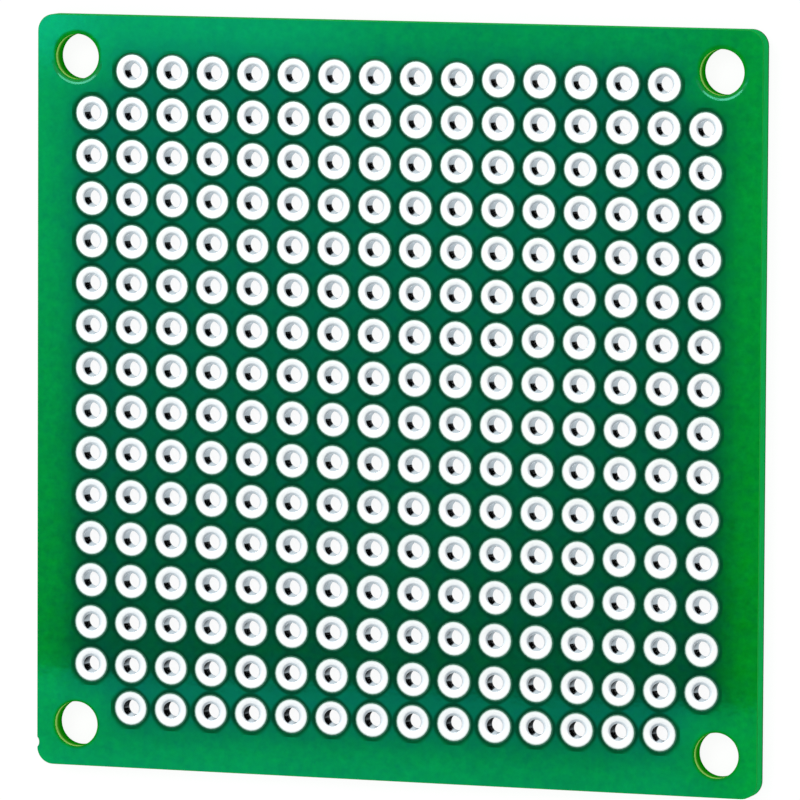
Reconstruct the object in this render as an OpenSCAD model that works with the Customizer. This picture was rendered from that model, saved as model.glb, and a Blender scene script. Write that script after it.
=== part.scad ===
// Square prototype board: a thin glass-epoxy substrate with a grid of plated, tinned lead holes,
// a coat of solder mask on each face, and a bare mounting hole at each corner.
// It lies on its back face, front face up. The origin is at the centre of the back face.

/* [Board] */
// Width of the board, along X
board_w = 45; // [44:0.5:70]
// Depth of the board, along Y
board_d = 45; // [44:0.5:70]
// Thickness of the board over both coats of mask
board_t = 1.2; // [0.8:0.1:2.4]
// Radius of the routed corners
corner_r = 1; // [0.5:0.1:1.6]

/* [Lead holes] */
// Distance from one lead hole to the next, both ways
grid_pitch = 2.54; // [2.4:0.02:2.54]
// Lead holes along each side of the grid, before the corner ones are left out
grid_count = 16; // [4:1:16]
// How far the grid sits above the middle of the board, along Y
grid_shift = 0.15; // [-0.4:0.05:0.4]
// Diameter of a tinned ring pad
pad_d = 2; // [1.6:0.05:2.1]
// Diameter of the open bore that a component lead goes through
bore_d = 1; // [0.7:0.05:1.1]
// Thickness of the metal on the wall of a lead hole
plating_t = 0.05; // [0.04:0.01:0.08]
// Radius that rolls the pad over into the bore
mouth_r = 0.12; // [0.08:0.01:0.13]

/* [Mounting holes] */
// Distance between the mounting holes, both ways
mount_pitch = 40; // [40:0.1:40.6]
// Diameter of a mounting hole, clearance for an M2.5 screw
mount_d = 2.7; // [2.2:0.1:2.8]

/* [Solder mask] */
// Thickness of the mask and of the pads on each face
mask_t = 0.04; // [0.04:0.01:0.05]
// Bare ring between a pad and the mask round it
mask_gap = 0.08; // [0.04:0.01:0.12]
// Width over which the mask thins out at a mounting hole
mask_slope = 0.2; // [0.1:0.05:0.25]

/* [Routing mark] */
// Radius of the rough nick that the breakaway tab left in the left edge
nick_r = 0.45; // [0.3:0.05:0.8]
// Depth of the nick
nick_depth = 0.12; // [0.05:0.01:0.2]
// Height of the nick above the front left corner
nick_y = 1.3; // [1.2:0.1:6]

/* [Hidden] */
$fn = 64;
pad_r = pad_d / 2;
bore_r = bore_d / 2;
drill_r = bore_r + plating_t;
mount_r = mount_d / 2;
core_t = board_t - 2 * mask_t;
mask_land = mask_t / 4; // how much of the mask is left at the rim of a mounting hole
row_names = [for (row = [1 : grid_count]) str("plated_row_", row < 10 ? "0" : "", row)];

// A corner place of the grid is left out: it makes room for a mounting hole.
function at_end(place) = place == 0 || place == grid_count - 1;
function columns(row) = [for (col = [0 : grid_count - 1]) if (!(at_end(row) && at_end(col))) col];

// Row 0 is the far one, at +Y, and column 0 is the left one, at -X.
function lead_place(row, col) =
    [(col - (grid_count - 1) / 2) * grid_pitch, grid_shift - (row - (grid_count - 1) / 2) * grid_pitch];

module at_lead_holes_of(row) {
    for (col = columns(row)) translate(lead_place(row, col)) children();
}

module at_lead_holes() {
    for (row = [0 : grid_count - 1]) at_lead_holes_of(row) children();
}

module at_mounting_holes() {
    for (x = [-1, 1], y = [-1, 1]) translate([x, y] * mount_pitch / 2) children();
}

// The routed outline: a square with round corners and the nick in its left edge.
module outline() {
    difference() {
        union() {
            square([board_w - 2 * corner_r, board_d], center = true);
            square([board_w, board_d - 2 * corner_r], center = true);
            for (x = [-1, 1], y = [-1, 1])
                translate([x * (board_w / 2 - corner_r), y * (board_d / 2 - corner_r)]) circle(corner_r);
        }
        translate([nick_depth - nick_r - board_w / 2, nick_y - board_d / 2]) circle(nick_r);
    }
}

module routed_laminate() {
    color([0.62, 0.68, 0.27])
        translate([0, 0, mask_t]) linear_extrude(core_t) difference() {
            outline();
            at_lead_holes() circle(drill_r);
            at_mounting_holes() circle(mount_r);
        }
}

// One coat of mask, with its outer face up at z = mask_t. It thins out to the land at a mounting hole.
module mask_coat() {
    difference() {
        linear_extrude(mask_t) difference() {
            outline();
            at_lead_holes() circle(pad_r + mask_gap);
            at_mounting_holes() circle(mount_r);
        }
        at_mounting_holes() translate([0, 0, mask_land])
            cylinder(h = mask_t - mask_land, r1 = mount_r, r2 = mount_r + mask_slope);
    }
}

module solder_mask_front() {
    color([0.0, 0.45, 0.27]) translate([0, 0, board_t - mask_t]) mask_coat();
}

module solder_mask_back() {
    color([0.0, 0.45, 0.27]) translate([0, 0, mask_t]) mirror([0, 0, 1]) mask_coat();
}

// Half of the metal's section, cut at mid-thickness: a wall up the hole, a flat pad on the face,
// and a round roll from one into the other.
module half_section() {
    half_t = board_t / 2;
    difference() {
        union() {
            translate([bore_r, 0]) square([plating_t, half_t]);
            translate([bore_r, half_t - mask_t]) square([pad_r - bore_r, mask_t]);
        }
        difference() {
            translate([bore_r - mouth_r, half_t - mouth_r]) square(2 * mouth_r);
            translate([bore_r + mouth_r, half_t - mouth_r]) circle(mouth_r);
            translate([bore_r + mouth_r, 0]) square([pad_r, half_t]);
        }
    }
}

module plated_hole() {
    translate([0, 0, board_t / 2]) rotate_extrude() {
        half_section();
        mirror([0, 1]) half_section();
    }
}

module plated_row(row) {
    color([0.88, 0.9, 0.91]) at_lead_holes_of(row) plated_hole();
}

routed_laminate();
solder_mask_front();
solder_mask_back();
for (row = [0 : grid_count - 1])
    plated_row(row);
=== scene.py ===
import math
import bpy
import bmesh
from mathutils import Matrix, Vector


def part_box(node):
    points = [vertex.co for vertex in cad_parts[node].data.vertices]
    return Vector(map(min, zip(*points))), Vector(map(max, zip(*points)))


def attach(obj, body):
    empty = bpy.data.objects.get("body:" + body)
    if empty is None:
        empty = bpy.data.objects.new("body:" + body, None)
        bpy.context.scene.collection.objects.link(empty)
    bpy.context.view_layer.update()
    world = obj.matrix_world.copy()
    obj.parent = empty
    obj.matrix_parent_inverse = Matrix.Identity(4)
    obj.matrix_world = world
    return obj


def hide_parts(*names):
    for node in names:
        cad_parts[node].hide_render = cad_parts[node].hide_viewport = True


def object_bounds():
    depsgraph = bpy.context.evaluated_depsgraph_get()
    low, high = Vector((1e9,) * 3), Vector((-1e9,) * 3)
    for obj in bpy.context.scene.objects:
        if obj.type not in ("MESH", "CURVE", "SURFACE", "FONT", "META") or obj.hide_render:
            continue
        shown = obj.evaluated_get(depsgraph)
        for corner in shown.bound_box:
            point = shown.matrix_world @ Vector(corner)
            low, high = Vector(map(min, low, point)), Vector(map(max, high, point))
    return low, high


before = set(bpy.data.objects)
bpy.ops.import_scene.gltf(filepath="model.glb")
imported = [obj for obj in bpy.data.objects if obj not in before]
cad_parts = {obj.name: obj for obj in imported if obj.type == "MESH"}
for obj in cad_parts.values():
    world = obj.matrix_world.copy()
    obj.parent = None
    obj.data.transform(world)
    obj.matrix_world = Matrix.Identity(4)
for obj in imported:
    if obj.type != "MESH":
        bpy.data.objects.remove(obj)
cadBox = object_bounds()
mm = 0.001  # everything below is written in millimetres and made in metres

boardLow, boardHigh = (corner / mm for corner in cadBox)
boardTop = boardHigh.z
halfWidth = boardHigh.x
halfDepth = boardHigh.y
print("frame: board", [round(v, 3) for v in boardHigh - boardLow], "mm")

# the grid of lead holes, worked out from the plated rows
firstRow, secondRow, lastRow = (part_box(f"plated_row_{n:02d}") for n in (1, 2, 16))
padRadius = (firstRow[1].y - firstRow[0].y) / 2 / mm  # across the facets, so a little under the true one
pitch = (firstRow[1].y - secondRow[1].y) / mm
gridCount = 16
gridHalf = (gridCount - 1) / 2 * pitch  # from the middle of the grid to its outer pads
gridShift = (firstRow[1].y + lastRow[0].y) / 2 / mm
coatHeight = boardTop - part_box("routed_laminate")[1].z / mm

cut = {  # what the drill and the router cut
    "lead bore": 0.5,  # radii
    "barrel outside": 0.548,
    "mounting hole": 1.35,
    "corner": 1.0,
    "mounting place": 20.0,  # from the middle of the board, both ways
}


class Signal:  # a socket that can stand in a sum, so that node maths reads as a formula
    def __init__(self, graph, socket):
        self.graph = graph
        self.socket = socket

    def combine(self, operation, first, second):
        return self.graph.node("ShaderNodeMath", {"operation": operation}, {0: first, 1: second})

    def pick(self, name):  # another output of the same node
        return Signal(self.graph, self.socket.node.outputs[name])

    def __add__(self, other):
        return self.combine("ADD", self, other)

    def __radd__(self, other):
        return self.combine("ADD", other, self)

    def __sub__(self, other):
        return self.combine("SUBTRACT", self, other)

    def __rsub__(self, other):
        return self.combine("SUBTRACT", other, self)

    def __mul__(self, other):
        return self.combine("MULTIPLY", self, other)

    def __rmul__(self, other):
        return self.combine("MULTIPLY", other, self)

    def __truediv__(self, other):
        return self.combine("DIVIDE", self, other)

    def __pow__(self, other):
        return self.combine("POWER", self, other)

    def __gt__(self, other):
        return self.combine("GREATER_THAN", self, other)

    def __abs__(self):
        return self.combine("ABSOLUTE", self, 0.0)


class Graph:  # a node tree being filled, for a material, the world or a geometry tree
    def __init__(self, tree):
        self.tree = tree

    def node(self, kind, settings=None, sockets=None):
        made = self.tree.nodes.new(kind)
        for name, value in (settings or {}).items():
            if name == "stops":
                self.setStops(made.color_ramp, value)
            else:
                setattr(made, name, value)
        for name, value in (sockets or {}).items():
            self.feed(self.port(made.inputs, name), value)
        shown = [socket for socket in made.outputs if socket.enabled]
        return Signal(self, shown[0]) if shown else made

    def port(self, sockets, name):  # a node may have several sockets of one name, all but one switched off
        if isinstance(name, int):
            return sockets[name]
        return next(socket for socket in sockets if socket.name == name and socket.enabled)

    def feed(self, socket, value):
        for one in value if isinstance(value, list) else [value]:
            if isinstance(one, Signal):
                self.tree.links.new(one.socket, socket)
            else:
                socket.default_value = one

    def setStops(self, ramp, stops):
        while len(ramp.elements) < len(stops):
            ramp.elements.new(0.5)
        for element, (place, shade) in zip(ramp.elements, stops):
            element.position = place
            element.color = (*shade, 1.0)

    def ease(self, value, low, high, start=0.0, end=1.0):  # an S-shaped ramp between low and high
        return self.node("ShaderNodeMapRange", {"interpolation_type": "SMOOTHSTEP"},
                         {"Value": value, "From Min": low, "From Max": high, "To Min": start, "To Max": end})

    def larger(self, first, second):
        return self.node("ShaderNodeMath", {"operation": "MAXIMUM"}, {0: first, 1: second})

    def length(self, x, y):
        return (x * x + y * y) ** 0.5

    def fract(self, value):
        return self.node("ShaderNodeMath", {"operation": "FRACT"}, {0: value})

    def blend(self, factor, first, second):  # from the first colour to the second
        return self.node("ShaderNodeMix", {"data_type": "RGBA"},
                         {"Factor": factor, "A": shade(first), "B": shade(second)})

    def tint(self, base, grey):  # a colour times a number
        return self.node("ShaderNodeVectorMath", {"operation": "SCALE"}, {0: base, "Scale": grey})

    def noise(self, place, scale, detail=2.0, rough=0.5):
        return self.node("ShaderNodeTexNoise", {},
                         {"Vector": place, "Scale": scale, "Detail": detail, "Roughness": rough})

    def xyz(self, vector):
        split = self.node("ShaderNodeSeparateXYZ", {}, {0: vector})
        return split, split.pick("Y"), split.pick("Z")

    def millimetres(self):  # Object coordinates, in the units of this script
        place = self.node("ShaderNodeTexCoord").pick("Object")
        return self.tint(place, 1 / mm)


def shade(value):
    return value if isinstance(value, Signal) or len(value) == 4 else (*value, 1.0)


print("helpers: ready")


def surface(name, make):  # a material whose shader the function make builds and returns
    material = bpy.data.materials.new(name)
    material.use_nodes = True
    material.node_tree.nodes.clear()
    graph = Graph(material.node_tree)
    graph.node("ShaderNodeOutputMaterial", {}, {"Surface": make(graph)})
    return material


greenMask = {  # the two coats of solder mask; colours are linear red, green, blue
    "painted shade between the pads": (0.0005, 0.054, 0.010),  # darker between the pads: painted shade where the pads block the light that comes through the laminate
    "over laminate": (0.0005, 0.196, 0.005),  # round the edge of the board, lighter with painted light that comes through the laminate
    "shade past the pads": 1.35,  # where the painted shade of the pad field ends, in pad radii
    "shade fade": (1.25, 1.45),  # half the width of its border, at the sides and at the near and far edge
    "painted shade beside a pad": (0.0004, 0.043, 0.013),  # painted shade where the coat dips round a pad; the dip is also made dull
    "painted shade beside an outer pad": (0.0005, 0.100, 0.016),
    "painted light on the coat's edge": (0.02, 0.42, 0.05),  # painted light along the coat's rolled edge, which faces away from the light; the coat is thinner there, over the bright edge of the laminate
    "edge span": (-0.05, -0.02),  # from the edge of the board
    "lighter at the sides": 1.2,
    "sides": (19.9, 22.5),  # from the middle of the board
    "mottle": 0.25,  # the least that the colour is multiplied by
    "mottle layers": ((0.4, 0.35, 3), (0.7, 1.7, 2), (0.4, 4.5, 2)),  # amount, scale and detail
    "uneven tint": (0.0, -0.015, 0.025),  # how far the colour strays from place to place
    "uneven tint scale": 1.5,
    "dip from": 1.23,  # the dip's outline bulges along the rows and columns, toward the next pads
    "dip to": 1.42,
    "dip drawn in": 0.05,  # how much nearer it begins beyond the pads
    "dip beyond the pads": 0.25,  # how much wider it fades out there
    "dip beyond the far pads": 0.5,  # how much is left of it there
    "far pads": (19.4, 20.4),
    "dip bulge": 1.6,
    "dip dullness": 0.9,
    "hole rim": (0.001, 0.25, 0.005),  # round a mounting hole
    "hole rim from": 0.03,
    "hole rim width": 0.19,
    "hole rim drawn off": 0.12,  # how much wider it is on the high side
    "high side": (-0.2, 1.1),  # of a far hole, that the coat ran from
    "low side": (-1.1, -0.2),  # and the side that it ran to
    "dull rim": (-0.17, 0.03),  # past the width of the rim
    "slope round a hole": 0.04,  # how far the coat falls toward a mounting hole, in the bump alone
    "slope span": (0.13, 0.34),
    "glaze span": (0.26, 0.34),
    "reflection": (0.004, 1.0, 0.72, 1.0),
    "reflection in the glaze": (0.2, 1.0, 0.75, 1.0),
    "roughness": 0.05,
    "glaze roughness": 0.08,
    "dull roughness": 0.5,
    "dull gloss": 0.1,
    "ripple": 0.0012,
    "ripple scale": 1.4,
}


def inCell(graph, x, y):  # how far a place is from the nearest lead hole, both ways, and 1 where there is one
    across = abs(graph.fract(x / pitch + (gridCount / 2)) - 0.5) * pitch
    along = abs(graph.fract((y - gridShift) / pitch + (gridCount / 2)) - 0.5) * pitch
    edge = gridHalf + pitch / 2
    right = abs(x)
    up = abs(y - gridShift)
    outside = graph.larger(right > edge, up > edge)
    corner = (right > edge - pitch) * (up > edge - pitch)
    return across, along, 1 - graph.larger(outside, corner)


def fromEdge(graph, x, y):  # 0 at the edge of the board and less inside it, with round corners
    corner = cut["corner"]
    outward = graph.length(graph.larger(abs(x) - (halfWidth - corner), 0.0),
                           graph.larger(abs(y) - (halfDepth - corner), 0.0))
    return outward - corner


def maskShader(graph):
    place = graph.millimetres()
    x, y, z = graph.xyz(place)
    right = abs(x)
    up = abs(y - gridShift)
    rim = gridHalf + greenMask["shade past the pads"] * padRadius
    bare = gridHalf - pitch / 2  # no painted shade in the corners past this, where there are no pads
    sideFade, endFade = greenMask["shade fade"]
    # painted shade over the pad field, and painted light round it, standing for light through the laminate
    field = graph.ease(right, rim - sideFade, rim + sideFade, 1, 0)
    field = field * graph.ease(up, rim - endFade, rim + endFade, 1, 0)
    inCorner = graph.ease(right, bare - endFade, bare + endFade)
    inCorner = inCorner * graph.ease(up, bare - endFade, bare + endFade)
    field = field * (1 - inCorner)
    base = graph.blend(field, greenMask["over laminate"], greenMask["painted shade between the pads"])

    across, along, present = inCell(graph, x, y)
    bulge = greenMask["dip bulge"]
    distance = (across ** bulge + along ** bulge) ** (1 / bulge)
    near = greenMask["dip from"] - greenMask["dip drawn in"] * (1 - field)
    far = greenMask["dip to"] + greenMask["dip beyond the pads"] * (1 - field)
    # the dip round each pad: further down, its painted shade darkens the colour and it makes the coat dull
    dip = graph.ease(distance, near, far, 1, 0) * present
    dip = dip * graph.ease(y, *greenMask["far pads"], 1.0, greenMask["dip beyond the far pads"])

    holeX = right - cut["mounting place"]
    holeY = y - cut["mounting place"] * (2 * (y > 0.0) - 1)
    fromHole = graph.length(holeX, holeY) - cut["mounting hole"]
    lowSide = graph.ease(holeY, *greenMask["low side"], 1, 0) * (y > 0.0)
    drawnOff = greenMask["hole rim drawn off"] * graph.ease(holeY, *greenMask["high side"]) * (y > 0.0)
    rimWidth = greenMask["hole rim width"] + drawnOff
    thinRimAndPadShade = graph.ease(fromHole, greenMask["hole rim from"], rimWidth, 1, 0)
    base = graph.blend(thinRimAndPadShade, base, greenMask["hole rim"])

    mottle = greenMask["mottle"]
    for amount, scale, detail in greenMask["mottle layers"]:
        mottle = mottle + amount * graph.noise(place, scale, detail)
    mottle = mottle * graph.ease(right, *greenMask["sides"], 1.0, greenMask["lighter at the sides"])
    bluer = graph.tint(greenMask["uneven tint"], graph.noise(place, greenMask["uneven tint scale"], 2) - 0.5)
    base = graph.node("ShaderNodeVectorMath", {"operation": "ADD"}, {0: graph.tint(base, mottle), 1: bluer})

    fall = graph.ease(fromHole, *greenMask["slope span"], -1, 0) * lowSide
    height = greenMask["slope round a hole"] * fall
    height = height + greenMask["ripple"] * graph.noise(place, greenMask["ripple scale"], 2)
    bump = graph.node("ShaderNodeBump", {}, {"Height": height, "Strength": 1.0, "Distance": mm})
    shiny = graph.node("ShaderNodeBsdfPrincipled", {}, {
        "Base Color": base, "Roughness": greenMask["roughness"], "Normal": bump,
        "Specular IOR Level": 1.0, "Specular Tint": greenMask["reflection"]})
    glazed = graph.node("ShaderNodeBsdfPrincipled", {}, {
        "Base Color": base, "Roughness": greenMask["glaze roughness"], "Normal": bump,
        "Specular IOR Level": 1.0, "Specular Tint": greenMask["reflection in the glaze"]})
    glaze = graph.ease(fromHole, *greenMask["glaze span"], 1, 0) * lowSide
    shiny = graph.node("ShaderNodeMixShader", {}, {0: glaze, 1: shiny, 2: glazed})

    # painted shade in the dip beside each pad, lighter beside the outer pads
    beside = graph.blend(field, greenMask["painted shade beside an outer pad"], greenMask["painted shade beside a pad"])
    uneven = graph.blend(dip, base, graph.tint(beside, mottle))
    # painted light along the coat's rolled edge
    edge = graph.ease(fromEdge(graph, x, y), *greenMask["edge span"])
    uneven = graph.blend(edge, uneven, greenMask["painted light on the coat's edge"])
    dull = graph.node("ShaderNodeBsdfPrincipled", {}, {
        "Base Color": uneven, "Roughness": greenMask["dull roughness"],
        "Specular IOR Level": greenMask["dull gloss"], "Specular Tint": greenMask["reflection"]})
    rimFrom, rimTo = greenMask["dull rim"]
    dullness = graph.larger(dip * greenMask["dip dullness"], edge)
    dullness = graph.larger(dullness, graph.ease(fromHole, rimWidth + rimFrom, rimWidth + rimTo, 1, 0))
    return graph.node("ShaderNodeMixShader", {}, {0: dullness, 1: shiny, 2: dull})


tin = {
    "metal": (0.93, 0.95, 0.955),
    "dull metal": (0.88, 0.90, 0.91),
    "painted shade at a pad's edge": (0.42, 0.56, 0.50),  # painted shade where the pad meets the shaded gap round it
    "edge from": 0.89,  # from the middle of a pad
    "pad radius": 1.0,
    "pad roughness": 0.36,
    "pad grain scale": 9.0,
    "pad grain": 0.15,  # strength of its bump
    "barrel roughness": 0.13,
    "barrel unevenness": 0.06,
    "barrel waist": 0.03,  # how much thicker the tin stands half-way down a hole, in the bump alone
}


def padShader(graph):
    place = graph.millimetres()
    x, y, z = graph.xyz(place)
    base = graph.blend(graph.noise(place, 0.9, 3), tin["dull metal"], tin["metal"])
    across, along, present = inCell(graph, x, y)
    # painted shade toward the edge of each pad
    thinRimAndPadShade = graph.ease(graph.length(across, along), tin["edge from"], tin["pad radius"])
    base = graph.blend(thinRimAndPadShade, base, tin["painted shade at a pad's edge"])
    grain = graph.noise(place, tin["pad grain scale"], 3)
    bump = graph.node("ShaderNodeBump", {}, {
        "Height": grain, "Strength": tin["pad grain"], "Distance": 0.01 * mm})
    return graph.node("ShaderNodeBsdfPrincipled", {}, {
        "Base Color": base, "Metallic": 1.0, "Normal": bump,
        "Roughness": tin["pad roughness"] + 0.1 * (grain - 0.5)})


def barrelShader(graph):
    place = graph.millimetres()
    x, y, z = graph.xyz(place)
    base = graph.blend(graph.noise(place, 2.0, 2), tin["dull metal"], tin["metal"])
    offMiddle = (z - boardTop / 2) / (boardTop / 2)
    bump = graph.node("ShaderNodeBump", {}, {
        "Height": 1 - offMiddle * offMiddle, "Strength": 1.0, "Distance": tin["barrel waist"] * mm})
    return graph.node("ShaderNodeBsdfPrincipled", {}, {
        "Base Color": base, "Metallic": 1.0, "Normal": bump,
        "Roughness": tin["barrel roughness"] + tin["barrel unevenness"] * graph.noise(place, 6.0, 2)})


laminate = {
    "routed edge": (0.010, 0.80, 0.16),
    "weave": (0.014, 0.68, 0.125),
    "weave stretch": (0.6, 0.6, 7.0),
    "weave span": (0.42, 0.62),
    "outer line": (0.002, 0.20, 0.03),  # along the back of the routed edge
    "outer line height": (0.28, 0.1),
    "under the coat": (0.045, 0.19, 0.115),
    "under the coat from": -0.14,  # from the edge of the board
    # a mounting hole's wall by height: painted light near the front, painted shade further in
    "painted light near the front of a hole": (0.55, 1.0, 0.24),
    "hole middle": (0.06, 0.42, 0.02),
    "hole near the back": (0.0, 0.5, 0.0),
    "front of a hole": (0.72, 1.02),  # heights
    "back of a hole": (0.35, 0.9),
    "hole reach": 1.5,  # from the middle of a mounting hole
}


def laminateShader(graph):
    place = graph.millimetres()
    x, y, z = graph.xyz(place)
    stretched = graph.node("ShaderNodeMapping", {}, {"Vector": place, "Scale": laminate["weave stretch"]})
    threads = graph.noise(stretched, 1.6, 3, 0.6)
    woven = graph.ease(threads, *laminate["weave span"])
    base = graph.blend(woven, laminate["routed edge"], laminate["weave"])
    base = graph.blend(graph.ease(z, *laminate["outer line height"]), base, laminate["outer line"])
    fromHole = graph.length(abs(x) - cut["mounting place"], abs(y) - cut["mounting place"])
    # painted light and shade on a mounting hole's wall, by height
    front = graph.ease(z, *laminate["front of a hole"])
    litAndShadedWall = graph.blend(front, laminate["hole middle"], laminate["painted light near the front of a hole"])
    litAndShadedWall = graph.blend(graph.ease(z, *laminate["back of a hole"]), laminate["hole near the back"], litAndShadedWall)
    pastHole = fromHole > laminate["hole reach"]
    base = graph.blend(pastHole, litAndShadedWall, base)
    inside = 1 - (fromEdge(graph, x, y) > laminate["under the coat from"])
    base = graph.blend(inside * pastHole, base, laminate["under the coat"])
    return graph.node("ShaderNodeBsdfPrincipled", {}, {
        "Base Color": base, "Roughness": 0.6, "Specular IOR Level": 0.0})


finishes = {name: surface(name, make) for name, make in (
    ("green_solder_mask", maskShader),
    ("tinned_pad", padShader),
    ("tinned_barrel", barrelShader),
    ("routed_laminate", laminateShader),
)}
print("materials:", ", ".join(finishes))


def treeOf(name, sizes, finish, build):  # a geometry tree with a named input for each size
    tree = bpy.data.node_groups.new(name, "GeometryNodeTree")
    tree.interface.new_socket("Shape", in_out="INPUT", socket_type="NodeSocketGeometry")
    for label, value in sizes.items():
        kind = "NodeSocketInt" if isinstance(value, int) else "NodeSocketFloat"
        tree.interface.new_socket(label, in_out="INPUT", socket_type=kind)
    tree.interface.new_socket("Shape", in_out="OUTPUT", socket_type="NodeSocketGeometry")
    graph = Graph(tree)
    shape = build(graph, graph.node("NodeGroupInput").pick)
    solid = graph.node("GeometryNodeRealizeInstances", {}, {"Geometry": shape})
    done = graph.node("GeometryNodeSetMaterial", {}, {"Geometry": solid, "Material": finish})
    graph.node("NodeGroupOutput", {}, {"Shape": done})
    return tree


def grow(name, points, tree, sizes, sharpAngle=None):  # the tree's result on a closed line, as a plain mesh
    line = bpy.data.meshes.new(name)
    line.from_pydata(points, [(i, (i + 1) % len(points)) for i in range(len(points))], [])
    piece = bpy.data.objects.new(name, line)
    bpy.context.scene.collection.objects.link(piece)
    modifier = piece.modifiers.new(tree.name, "NODES")
    modifier.node_group = tree
    for socket in tree.interface.items_tree:
        if socket.in_out == "INPUT" and socket.name in sizes:
            modifier[socket.identifier] = sizes[socket.name]
    grown = bpy.data.meshes.new_from_object(piece.evaluated_get(bpy.context.evaluated_depsgraph_get()))
    piece.modifiers.remove(modifier)
    piece.data = grown
    shape = bmesh.new()
    shape.from_mesh(grown)
    bmesh.ops.remove_doubles(shape, verts=shape.verts, dist=0.0005)  # still in millimetres here
    bmesh.ops.recalc_face_normals(shape, faces=shape.faces)
    openEdges = sum(not edge.is_manifold for edge in shape.edges)
    shape.to_mesh(grown)
    shape.free()
    if sharpAngle:
        grown.set_sharp_from_angle(angle=math.radians(sharpAngle))
    grown.transform(Matrix.Scale(mm, 4))
    print(f"{name}: {len(grown.polygons)} faces, {openEdges} open edges")
    return piece


def vector(graph, x, y, z):
    return graph.node("ShaderNodeCombineXYZ", {}, {"X": x, "Y": y, "Z": z})


def leadPlaces(graph, size):  # a point for each lead hole: a square grid without its four corners
    span = size("Grid Reach") * 2
    grid = graph.node("GeometryNodeMeshGrid", {}, {
        "Size X": span, "Size Y": span, "Vertices X": size("Grid Count"), "Vertices Y": size("Grid Count")})
    x, y, z = graph.xyz(graph.node("GeometryNodeInputPosition"))
    spare = abs(x) + abs(y) > span - size("Pitch") / 2
    kept = graph.node("GeometryNodeDeleteGeometry", {}, {"Geometry": grid, "Selection": spare})
    return graph.node("GeometryNodeTransform", {}, {
        "Geometry": kept, "Translation": vector(graph, 0.0, size("Grid Shift"), 0.0)})


def copies(graph, points, thing):
    placed = graph.node("GeometryNodeInstanceOnPoints", {}, {"Points": points, "Instance": thing})
    return graph.node("GeometryNodeRealizeInstances", {}, {"Geometry": placed})


def circle(graph, sides, radius):
    return graph.node("GeometryNodeCurvePrimitiveCircle", {}, {"Resolution": sides, "Radius": radius})


def swept(graph, path, profile):
    return graph.node("GeometryNodeCurveToMesh", {}, {"Curve": path, "Profile Curve": profile})


def slope(graph, path, width, height):  # a rounded slope up from the path, to one side of it
    arc = graph.node("GeometryNodeCurveArc", {}, {
        "Resolution": 3, "Radius": 1.0, "Start Angle": math.pi, "Sweep Angle": math.pi / 2})
    side = graph.node("GeometryNodeTransform", {}, {
        "Geometry": arc, "Translation": vector(graph, width, 0.0, 0.0),
        "Scale": vector(graph, width, height, 1.0)})
    return swept(graph, path, side)


gridSizes = {"Grid Reach": gridHalf, "Grid Count": gridCount, "Grid Shift": gridShift, "Pitch": pitch}

coat = {
    "Height": coatHeight,
    "Opening": padRadius + 0.08,  # radius of the window over each pad
    "Opening Slope": 0.06,
    "Opening Sides": 24,
    "Mounting Hole": cut["mounting hole"],
    "Mounting Slope": 0.09,
    "Mounting Sides": 48,
    "Mounting Span": 2 * cut["mounting place"],
    "Edge Roll": 0.03,
    "Base": boardTop - coatHeight,  # where the coat lies, and which way is up from there
    "Side": 1.0,
    **gridSizes,
}


def buildCoat(graph, size):
    def flat(curves, lift):  # a sheet between the curves
        joined = graph.node("GeometryNodeJoinGeometry", {}, {"Geometry": curves})
        sheet = graph.node("GeometryNodeFillCurve", {"mode": "TRIANGLES"}, {"Curve": joined})
        level = graph.node("GeometryNodeSetShadeSmooth", {}, {"Geometry": sheet, "Shade Smooth": False})
        return graph.node("GeometryNodeTransform", {}, {
            "Geometry": level, "Translation": vector(graph, 0.0, 0.0, lift)})

    outline = graph.node("GeometryNodeMeshToCurve", {}, {"Mesh": size("Shape")})
    leads = leadPlaces(graph, size)
    mounts = graph.node("GeometryNodeMeshGrid", {}, {
        "Size X": size("Mounting Span"), "Size Y": size("Mounting Span"), "Vertices X": 2, "Vertices Y": 2})
    inward = graph.tint(graph.node("GeometryNodeInputNormal"), 0 - size("Edge Roll"))
    inset = graph.node("GeometryNodeSetPosition", {}, {"Geometry": outline, "Offset": inward})
    low = [outline]
    high = [inset]
    sides = [slope(graph, outline, 0 - size("Edge Roll"), size("Height"))]
    for points, count, radius, width in (
            (leads, "Opening Sides", "Opening", "Opening Slope"),
            (mounts, "Mounting Sides", "Mounting Hole", "Mounting Slope")):
        foot = circle(graph, size(count), size(radius))
        low.append(copies(graph, points, foot))
        high.append(copies(graph, points, circle(graph, size(count), size(radius) + size(width))))
        sides.append(copies(graph, points, slope(graph, foot, size(width), size("Height"))))
    shell = graph.node("GeometryNodeJoinGeometry", {}, {
        "Geometry": [*sides, flat(low, 0.0), flat(high, size("Height"))]})
    return graph.node("GeometryNodeTransform", {}, {
        "Geometry": shell, "Translation": vector(graph, 0.0, 0.0, size("Base")),
        "Scale": vector(graph, 1.0, 1.0, size("Side"))})


outlineSizes = {
    "corner steps": 8,
    "nick radius": 0.45,  # the mark that the breakaway tab left in the left edge
    "nick depth": 0.12,
    "nick height": 1.3,  # above the front left corner
    "nick steps": 8,
}


def arcPoints(x, y, radius, start, end, steps):
    angles = [math.radians(start + (end - start) * step / steps) for step in range(steps + 1)]
    return [(x + radius * math.cos(a), y + radius * math.sin(a), 0.0) for a in angles]


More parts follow.
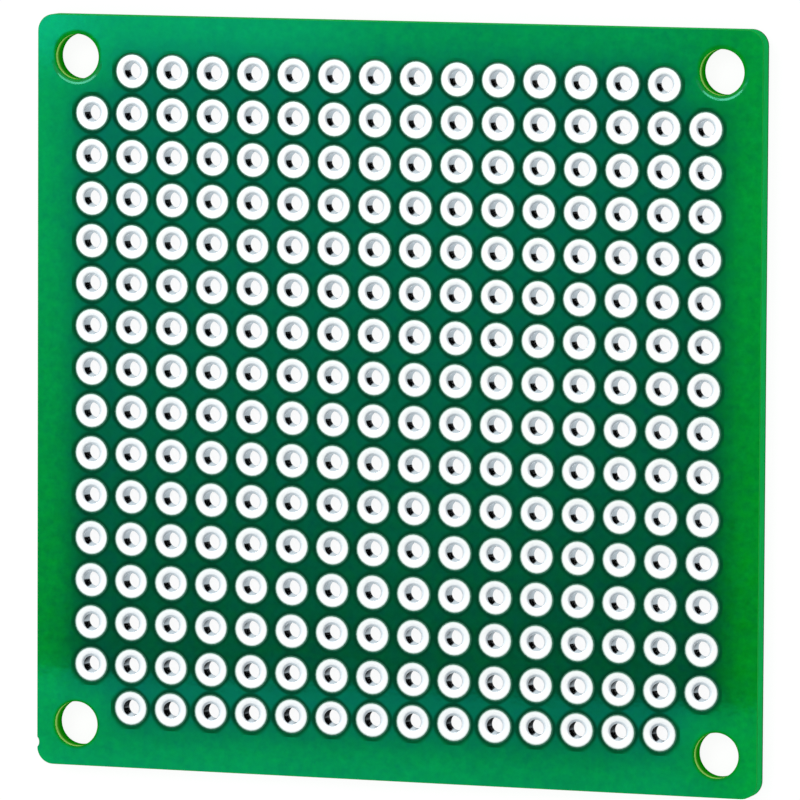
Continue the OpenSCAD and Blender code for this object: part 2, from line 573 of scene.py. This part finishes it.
def outlinePoints():  # counter-clockwise round the board, with the nick in the left edge
    radius = cut["corner"]
    steps = outlineSizes["corner steps"]
    x = halfWidth - radius
    y = halfDepth - radius
    points = arcPoints(x, -y, radius, -90, 0, steps) + arcPoints(x, y, radius, 0, 90, steps)
    points += arcPoints(-x, y, radius, 90, 180, steps)
    nick = outlineSizes["nick radius"]
    middle = outlineSizes["nick depth"] - nick - halfWidth
    half = math.degrees(math.acos((nick - outlineSizes["nick depth"]) / nick))
    nickY = outlineSizes["nick height"] - halfDepth
    points += arcPoints(middle, nickY, nick, half, -half, outlineSizes["nick steps"])
    lastCorner = arcPoints(-x, -y, radius, 180, 270, steps)
    return points + [point for point in lastCorner if point[1] < points[-1][1]]  # the nick runs into it


coatTree = treeOf("solder_mask_coat", coat, finishes["green_solder_mask"], buildCoat)
backCoat = {**coat, "Base": coatHeight, "Side": -1.0}
maskFront = grow("mask_front", outlinePoints(), coatTree, coat)
maskBack = grow("mask_back", outlinePoints(), coatTree, backCoat)

ring = {"Radius": padRadius, "Sides": 24, **gridSizes}


def buildRings(graph, size):  # the outline of a ring's section swept round each lead hole
    section = graph.node("GeometryNodeMeshToCurve", {}, {"Mesh": size("Shape")})
    path = circle(graph, size("Sides"), size("Radius"))
    return copies(graph, leadPlaces(graph, size), swept(graph, path, section))


def sectionPoints(corners):  # from radius and height to a section swept with x outward and y down
    return [(radius - padRadius, -height, 0.0) for radius, height in corners]


bore = cut["lead bore"]
rollDepth = 0.1  # the metal turns from the pad into the hole over this much
mouth = (bore, boardTop - rollDepth)
padSection = [(tin["pad radius"], boardTop - 0.01), (0.68, boardTop), (0.556, boardTop - 0.032), mouth]
padBackSection = [(radius, boardTop - height) for radius, height in padSection]
barrelSection = [mouth, (bore, rollDepth), (cut["barrel outside"], boardTop / 2)]
sharpFrom = 50  # degrees; edges that turn more than this stay sharp
padTree = treeOf("ring_of_tin", ring, finishes["tinned_pad"], buildRings)
barrelTree = treeOf("tinned_barrel", ring, finishes["tinned_barrel"], buildRings)
padsFront = grow("pads_front", sectionPoints(padSection), padTree, ring, sharpFrom)
padsBack = grow("pads_back", sectionPoints(padBackSection), padTree, ring, sharpFrom)
barrels = grow("barrels", sectionPoints(barrelSection), barrelTree, ring, sharpFrom)

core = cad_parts["routed_laminate"]
core.data.materials.clear()
core.data.materials.append(finishes["routed_laminate"])

rows = [f"plated_row_{n:02d}" for n in range(1, 17)]
for piece, slotName, replaced in (
        (maskFront, "solder_mask", ["solder_mask_front"]),
        (maskBack, "solder_mask", ["solder_mask_back"]),
        (padsFront, "tinned_copper", rows),
        (padsBack, "tinned_copper", rows),
        (barrels, "tinned_copper", rows)):
    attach(piece, "root")
    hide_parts(*replaced)
print("pieces: on the frame")

studio = {
    "daylight": 0.8,  # what the room sends from all round
    "key strength": 0.7,
    "key from": (-0.5, 0.55, 0.9),
    "key softness": 25.0,  # degrees
    "floor bounce": 0.12,
    "floor reach": 2500.0,
    "floor white": 1.03,
    "soft box": (-500.0, 60.0, 150.0, 270.0, 500.0),  # low and high x, low and high y, and height
    "soft box light": 5.0,
    "flag depth": 600.0,  # a black flag below the board, which the barrels mirror
    "near flag": (-90.0, 90.0, -90.0, -14.0, -12.0),  # laid out as the soft box; the nearest rows mirror it
    "near flag closes": (-22.3, -15.0, 0.97),  # y where it is closed and where it is open, and its density
    "flag turn": (-14.0, 92.0),  # degrees, where it begins and ends round the board
    "flag lean": (8.0, 62.0),  # degrees off straight down, of its near and far edge
}


def emitter(graph, tone, strength=1.0):
    return graph.node("ShaderNodeEmission", {}, {"Color": tone, "Strength": strength})


def panel(name, corners, finish):  # a flat thing of the studio
    mesh = bpy.data.meshes.new(name)
    mesh.from_pydata([Vector(corner) * mm for corner in corners], [], [tuple(range(len(corners)))])
    mesh.materials.append(finish)
    thing = bpy.data.objects.new(name, mesh)
    bpy.context.scene.collection.objects.link(thing)
    return thing


def level(lowX, highX, lowY, highY, height):  # the corners of a level panel
    return [(lowX, lowY, height), (highX, lowY, height), (highX, highY, height), (lowX, highY, height)]


def onlyInReflections(thing):
    thing.visible_camera = False
    thing.visible_diffuse = False
    thing.visible_transmission = False
    thing.visible_shadow = False


cameraPlace = Vector((167.80, 50.08, 496.20))
cameraLook = Vector((-0.31895, -0.09502, -0.94300)).normalized()
cameraUp = Vector((-0.03532, 0.99546, -0.08836))
cameraLens = 400.67
cameraHeight = cameraPlace.z - boardTop


def floorShader(graph):
    seen = graph.node("ShaderNodeLightPath")
    white = graph.larger(graph.larger(seen, seen.pick("Is Glossy Ray")), seen.pick("Is Transmission Ray"))
    glow = graph.node("ShaderNodeEmission", {}, {
        "Color": (1.0, 1.0, 1.0, 1.0), "Strength": white * (studio["floor white"] - studio["floor bounce"])})
    grain = graph.noise(graph.millimetres(), 0.05, 2)
    matt = graph.node("ShaderNodeBsdfDiffuse", {}, {
        "Color": graph.tint((1.0, 1.0, 1.0), studio["floor bounce"] * (0.99 + 0.02 * grain))})
    return graph.node("ShaderNodeAddShader", {}, {0: matt, 1: glow})


card = {  # the soft card above the board; places are those on the board that mirror it
    "height": 150.0,
    "width": 72.0,
    "light": 3.0,  # times the stops
    "stops": (  # from the near edge to the far one
        (0.0, 0.55), (0.078, 0.48), (0.107, 0.37), (0.17, 0.52), (0.176, 0.13), (0.21, 0.13),
        (0.3, 0.16), (0.454, 0.25), (0.65, 0.36), (0.85, 0.43), (0.905, 0.46), (1.0, 0.5)),
    "span": 52.0,  # of the stops, along y
    "skew": 0.005,
    "far left corner": ((-23.0, 23.0), (1.0, 6.0, 1.5, 1.0), (12.0, 26.0, 1.06, 1.0)),  # two glows round it
    "near right corner": ((20.0, -20.0), (2.0, 9.0, 1.3, 1.0)),
    "far strip": ((-8.0, 2.0, 0.35, 0.0), (18.5, 21.0)),  # brighter to the left of this x, past this y
    "lean": (0.008, 0.00012),  # how much darker it gets to the right
    "warm side": (16.0, 22.0),
    "warm": (1.0, 1.0, 0.6),
}
cardGrown = card["height"] / cameraHeight  # how much more it spans than the part of the board that mirrors it


def frontCardShader(graph):
    x, y, z = graph.xyz(graph.millimetres())
    seenX = (x + cameraPlace.x * cardGrown) / (1 + cardGrown)
    seenY = (y + cameraPlace.y * cardGrown) / (1 + cardGrown)
    along = (seenY + card["skew"] * seenX + card["span"] / 2) / card["span"]
    greys = [(place, (grey,) * 3) for place, grey in card["stops"]]
    stops = graph.node("ShaderNodeValToRGB", {"stops": greys}, {0: along})
    (farX, farY), farGlow, farWash = card["far left corner"]
    fromFar = graph.length(seenX - farX, seenY - farY)
    glow = graph.ease(fromFar, *farGlow) * graph.ease(fromFar, *farWash)
    (nearX, nearY), nearGlow = card["near right corner"]
    glow = glow * graph.ease(graph.length(seenX - nearX, seenY - nearY), *nearGlow)
    stripX, stripY = card["far strip"]
    strip = 1 + graph.ease(seenX, *stripX) * graph.ease(seenY, *stripY)
    steady, growing = card["lean"]
    lean = 1 - steady * seenX - growing * seenX * seenX
    tone = graph.tint(stops, glow * strip * lean * card["light"])
    warm = graph.blend(graph.ease(seenX, *card["warm side"]), (1.0, 1.0, 1.0), card["warm"])
    return emitter(graph, graph.node("ShaderNodeVectorMath", {"operation": "MULTIPLY"}, {0: tone, 1: warm}))


def softBoxShader(graph):
    weave = graph.noise(graph.millimetres(), 0.02, 2)
    return emitter(graph, graph.tint((1.0, 1.0, 1.0), 0.9 + 0.2 * weave), studio["soft box light"])


def flagShader(graph):  # black cloth
    weave = graph.noise(graph.millimetres(), 0.05, 2)
    return graph.node("ShaderNodeBsdfDiffuse", {}, {"Color": graph.tint((0.01, 0.01, 0.01), weave)})


def nearFlagShader(graph):  # thin cloth that closes up away from the board
    x, y, z = graph.xyz(graph.millimetres())
    closed, opened, dense = studio["near flag closes"]
    clear = graph.node("ShaderNodeBsdfTransparent")
    cover = graph.ease(y, closed, opened, dense, 0)
    return graph.node("ShaderNodeMixShader", {}, {0: cover, 1: clear, 2: flagShader(graph)})


reach = studio["floor reach"]
floor = panel("floor", level(-reach, reach, -reach, reach, -0.01), surface("floor", floorShader))
floor.visible_glossy = False

middleX = -cameraPlace.x * cardGrown
middleY = -cameraPlace.y * cardGrown
half = card["width"] / 2
cardCorners = level(middleX - half, middleX + half, middleY - half, middleY + half, card["height"] + boardTop)
frontCard = panel("front_card", cardCorners, surface("front_card", frontCardShader))
softBox = panel("soft_box", level(*studio["soft box"]), surface("soft_box", softBoxShader))

flagCorners = []
for lean, (start, end) in zip(studio["flag lean"], (studio["flag turn"], reversed(studio["flag turn"]))):
    flagRadius = studio["flag depth"] * math.tan(math.radians(lean))
    flagCorners += arcPoints(0, 0, flagRadius, start, end, 24)
flagCorners = [(x, y, -studio["flag depth"]) for x, y, z in flagCorners]
flag = panel("black_flag", flagCorners, surface("black_flag", flagShader))
nearFlag = panel("near_flag", level(*studio["near flag"]), surface("near_flag", nearFlagShader))
for thing in (frontCard, softBox, flag, nearFlag):
    onlyInReflections(thing)

key = bpy.data.objects.new("key", bpy.data.lights.new("key", "SUN"))
key.data.energy = studio["key strength"]
key.data.angle = math.radians(studio["key softness"])
key.rotation_euler = Vector(studio["key from"]).to_track_quat("Z", "Y").to_euler()
bpy.context.scene.collection.objects.link(key)

roomLook = {  # the room as gloss and metal mirror it; x, y and z run from -1 to 1 round the board
    "grey": 0.68,
    "brighter by": 0.34,
    "bright side": (-0.866, 0.5),  # x and y of where it is brightest
    "darker below": (-0.9, -0.2, 0.08, 0.0),
    "darker in front": (-0.75, -0.3, 0.15, 0.0),
    "and above": (0.2, 0.6),
    "tint": (0.88, 1.0, 1.08),
    "overhead": (1.05, 1.05, 1.05),
    "overhead from": (0.6, 0.9),
    "overhead lean": 0.35,
    "right below": (-0.998, -0.985, 1.0, 0.0),  # white, as the floor
}

world = bpy.data.worlds.new("room")
bpy.context.scene.world = world
world.use_nodes = True
world.node_tree.nodes.clear()
room = Graph(world.node_tree)
seen = room.node("ShaderNodeLightPath")
aroundX, aroundY, aroundZ = room.xyz(room.node("ShaderNodeTexCoord").pick("Generated"))
sideX, sideY = roomLook["bright side"]
tone = roomLook["grey"] + roomLook["brighter by"] * (sideY * aroundY + sideX * aroundX)
tone = tone - room.ease(aroundZ, *roomLook["darker below"])
tone = tone - room.ease(aroundY, *roomLook["darker in front"]) * room.ease(aroundZ, *roomLook["and above"])
horizon = room.tint(roomLook["tint"], tone)
overhead = room.ease(aroundZ + roomLook["overhead lean"] * aroundY, *roomLook["overhead from"])
mirrored = room.blend(overhead, horizon, roomLook["overhead"])
mirrored = room.blend(room.ease(aroundZ, *roomLook["right below"]), mirrored, (1.0, 1.0, 1.0))
inMetal = room.larger(seen.pick("Is Glossy Ray"), seen.pick("Is Transmission Ray"))
daylight = studio["daylight"]
plain = room.tint((1.0, 1.0, 1.0), daylight + (1 - daylight) * seen)  # white to the camera
light = room.blend(inMetal, plain, mirrored)
backdrop = room.node("ShaderNodeBackground", {}, {"Color": light})
room.node("ShaderNodeOutputWorld", {}, {"Surface": backdrop})
print("studio: lit")

camera = bpy.data.objects.new("camera", bpy.data.cameras.new("camera"))
camera.data.lens = cameraLens
camera.data.sensor_width = 36.0
camera.data.clip_start = 0.01
camera.data.clip_end = 10.0
rightward = cameraLook.cross(cameraUp).normalized()
upward = rightward.cross(cameraLook)
pointed = Matrix((rightward, upward, -cameraLook)).transposed().to_4x4()
camera.matrix_world = Matrix.Translation(cameraPlace * mm) @ pointed
bpy.context.scene.collection.objects.link(camera)
bpy.context.scene.camera = camera
bpy.context.scene.view_settings.view_transform = "Standard"
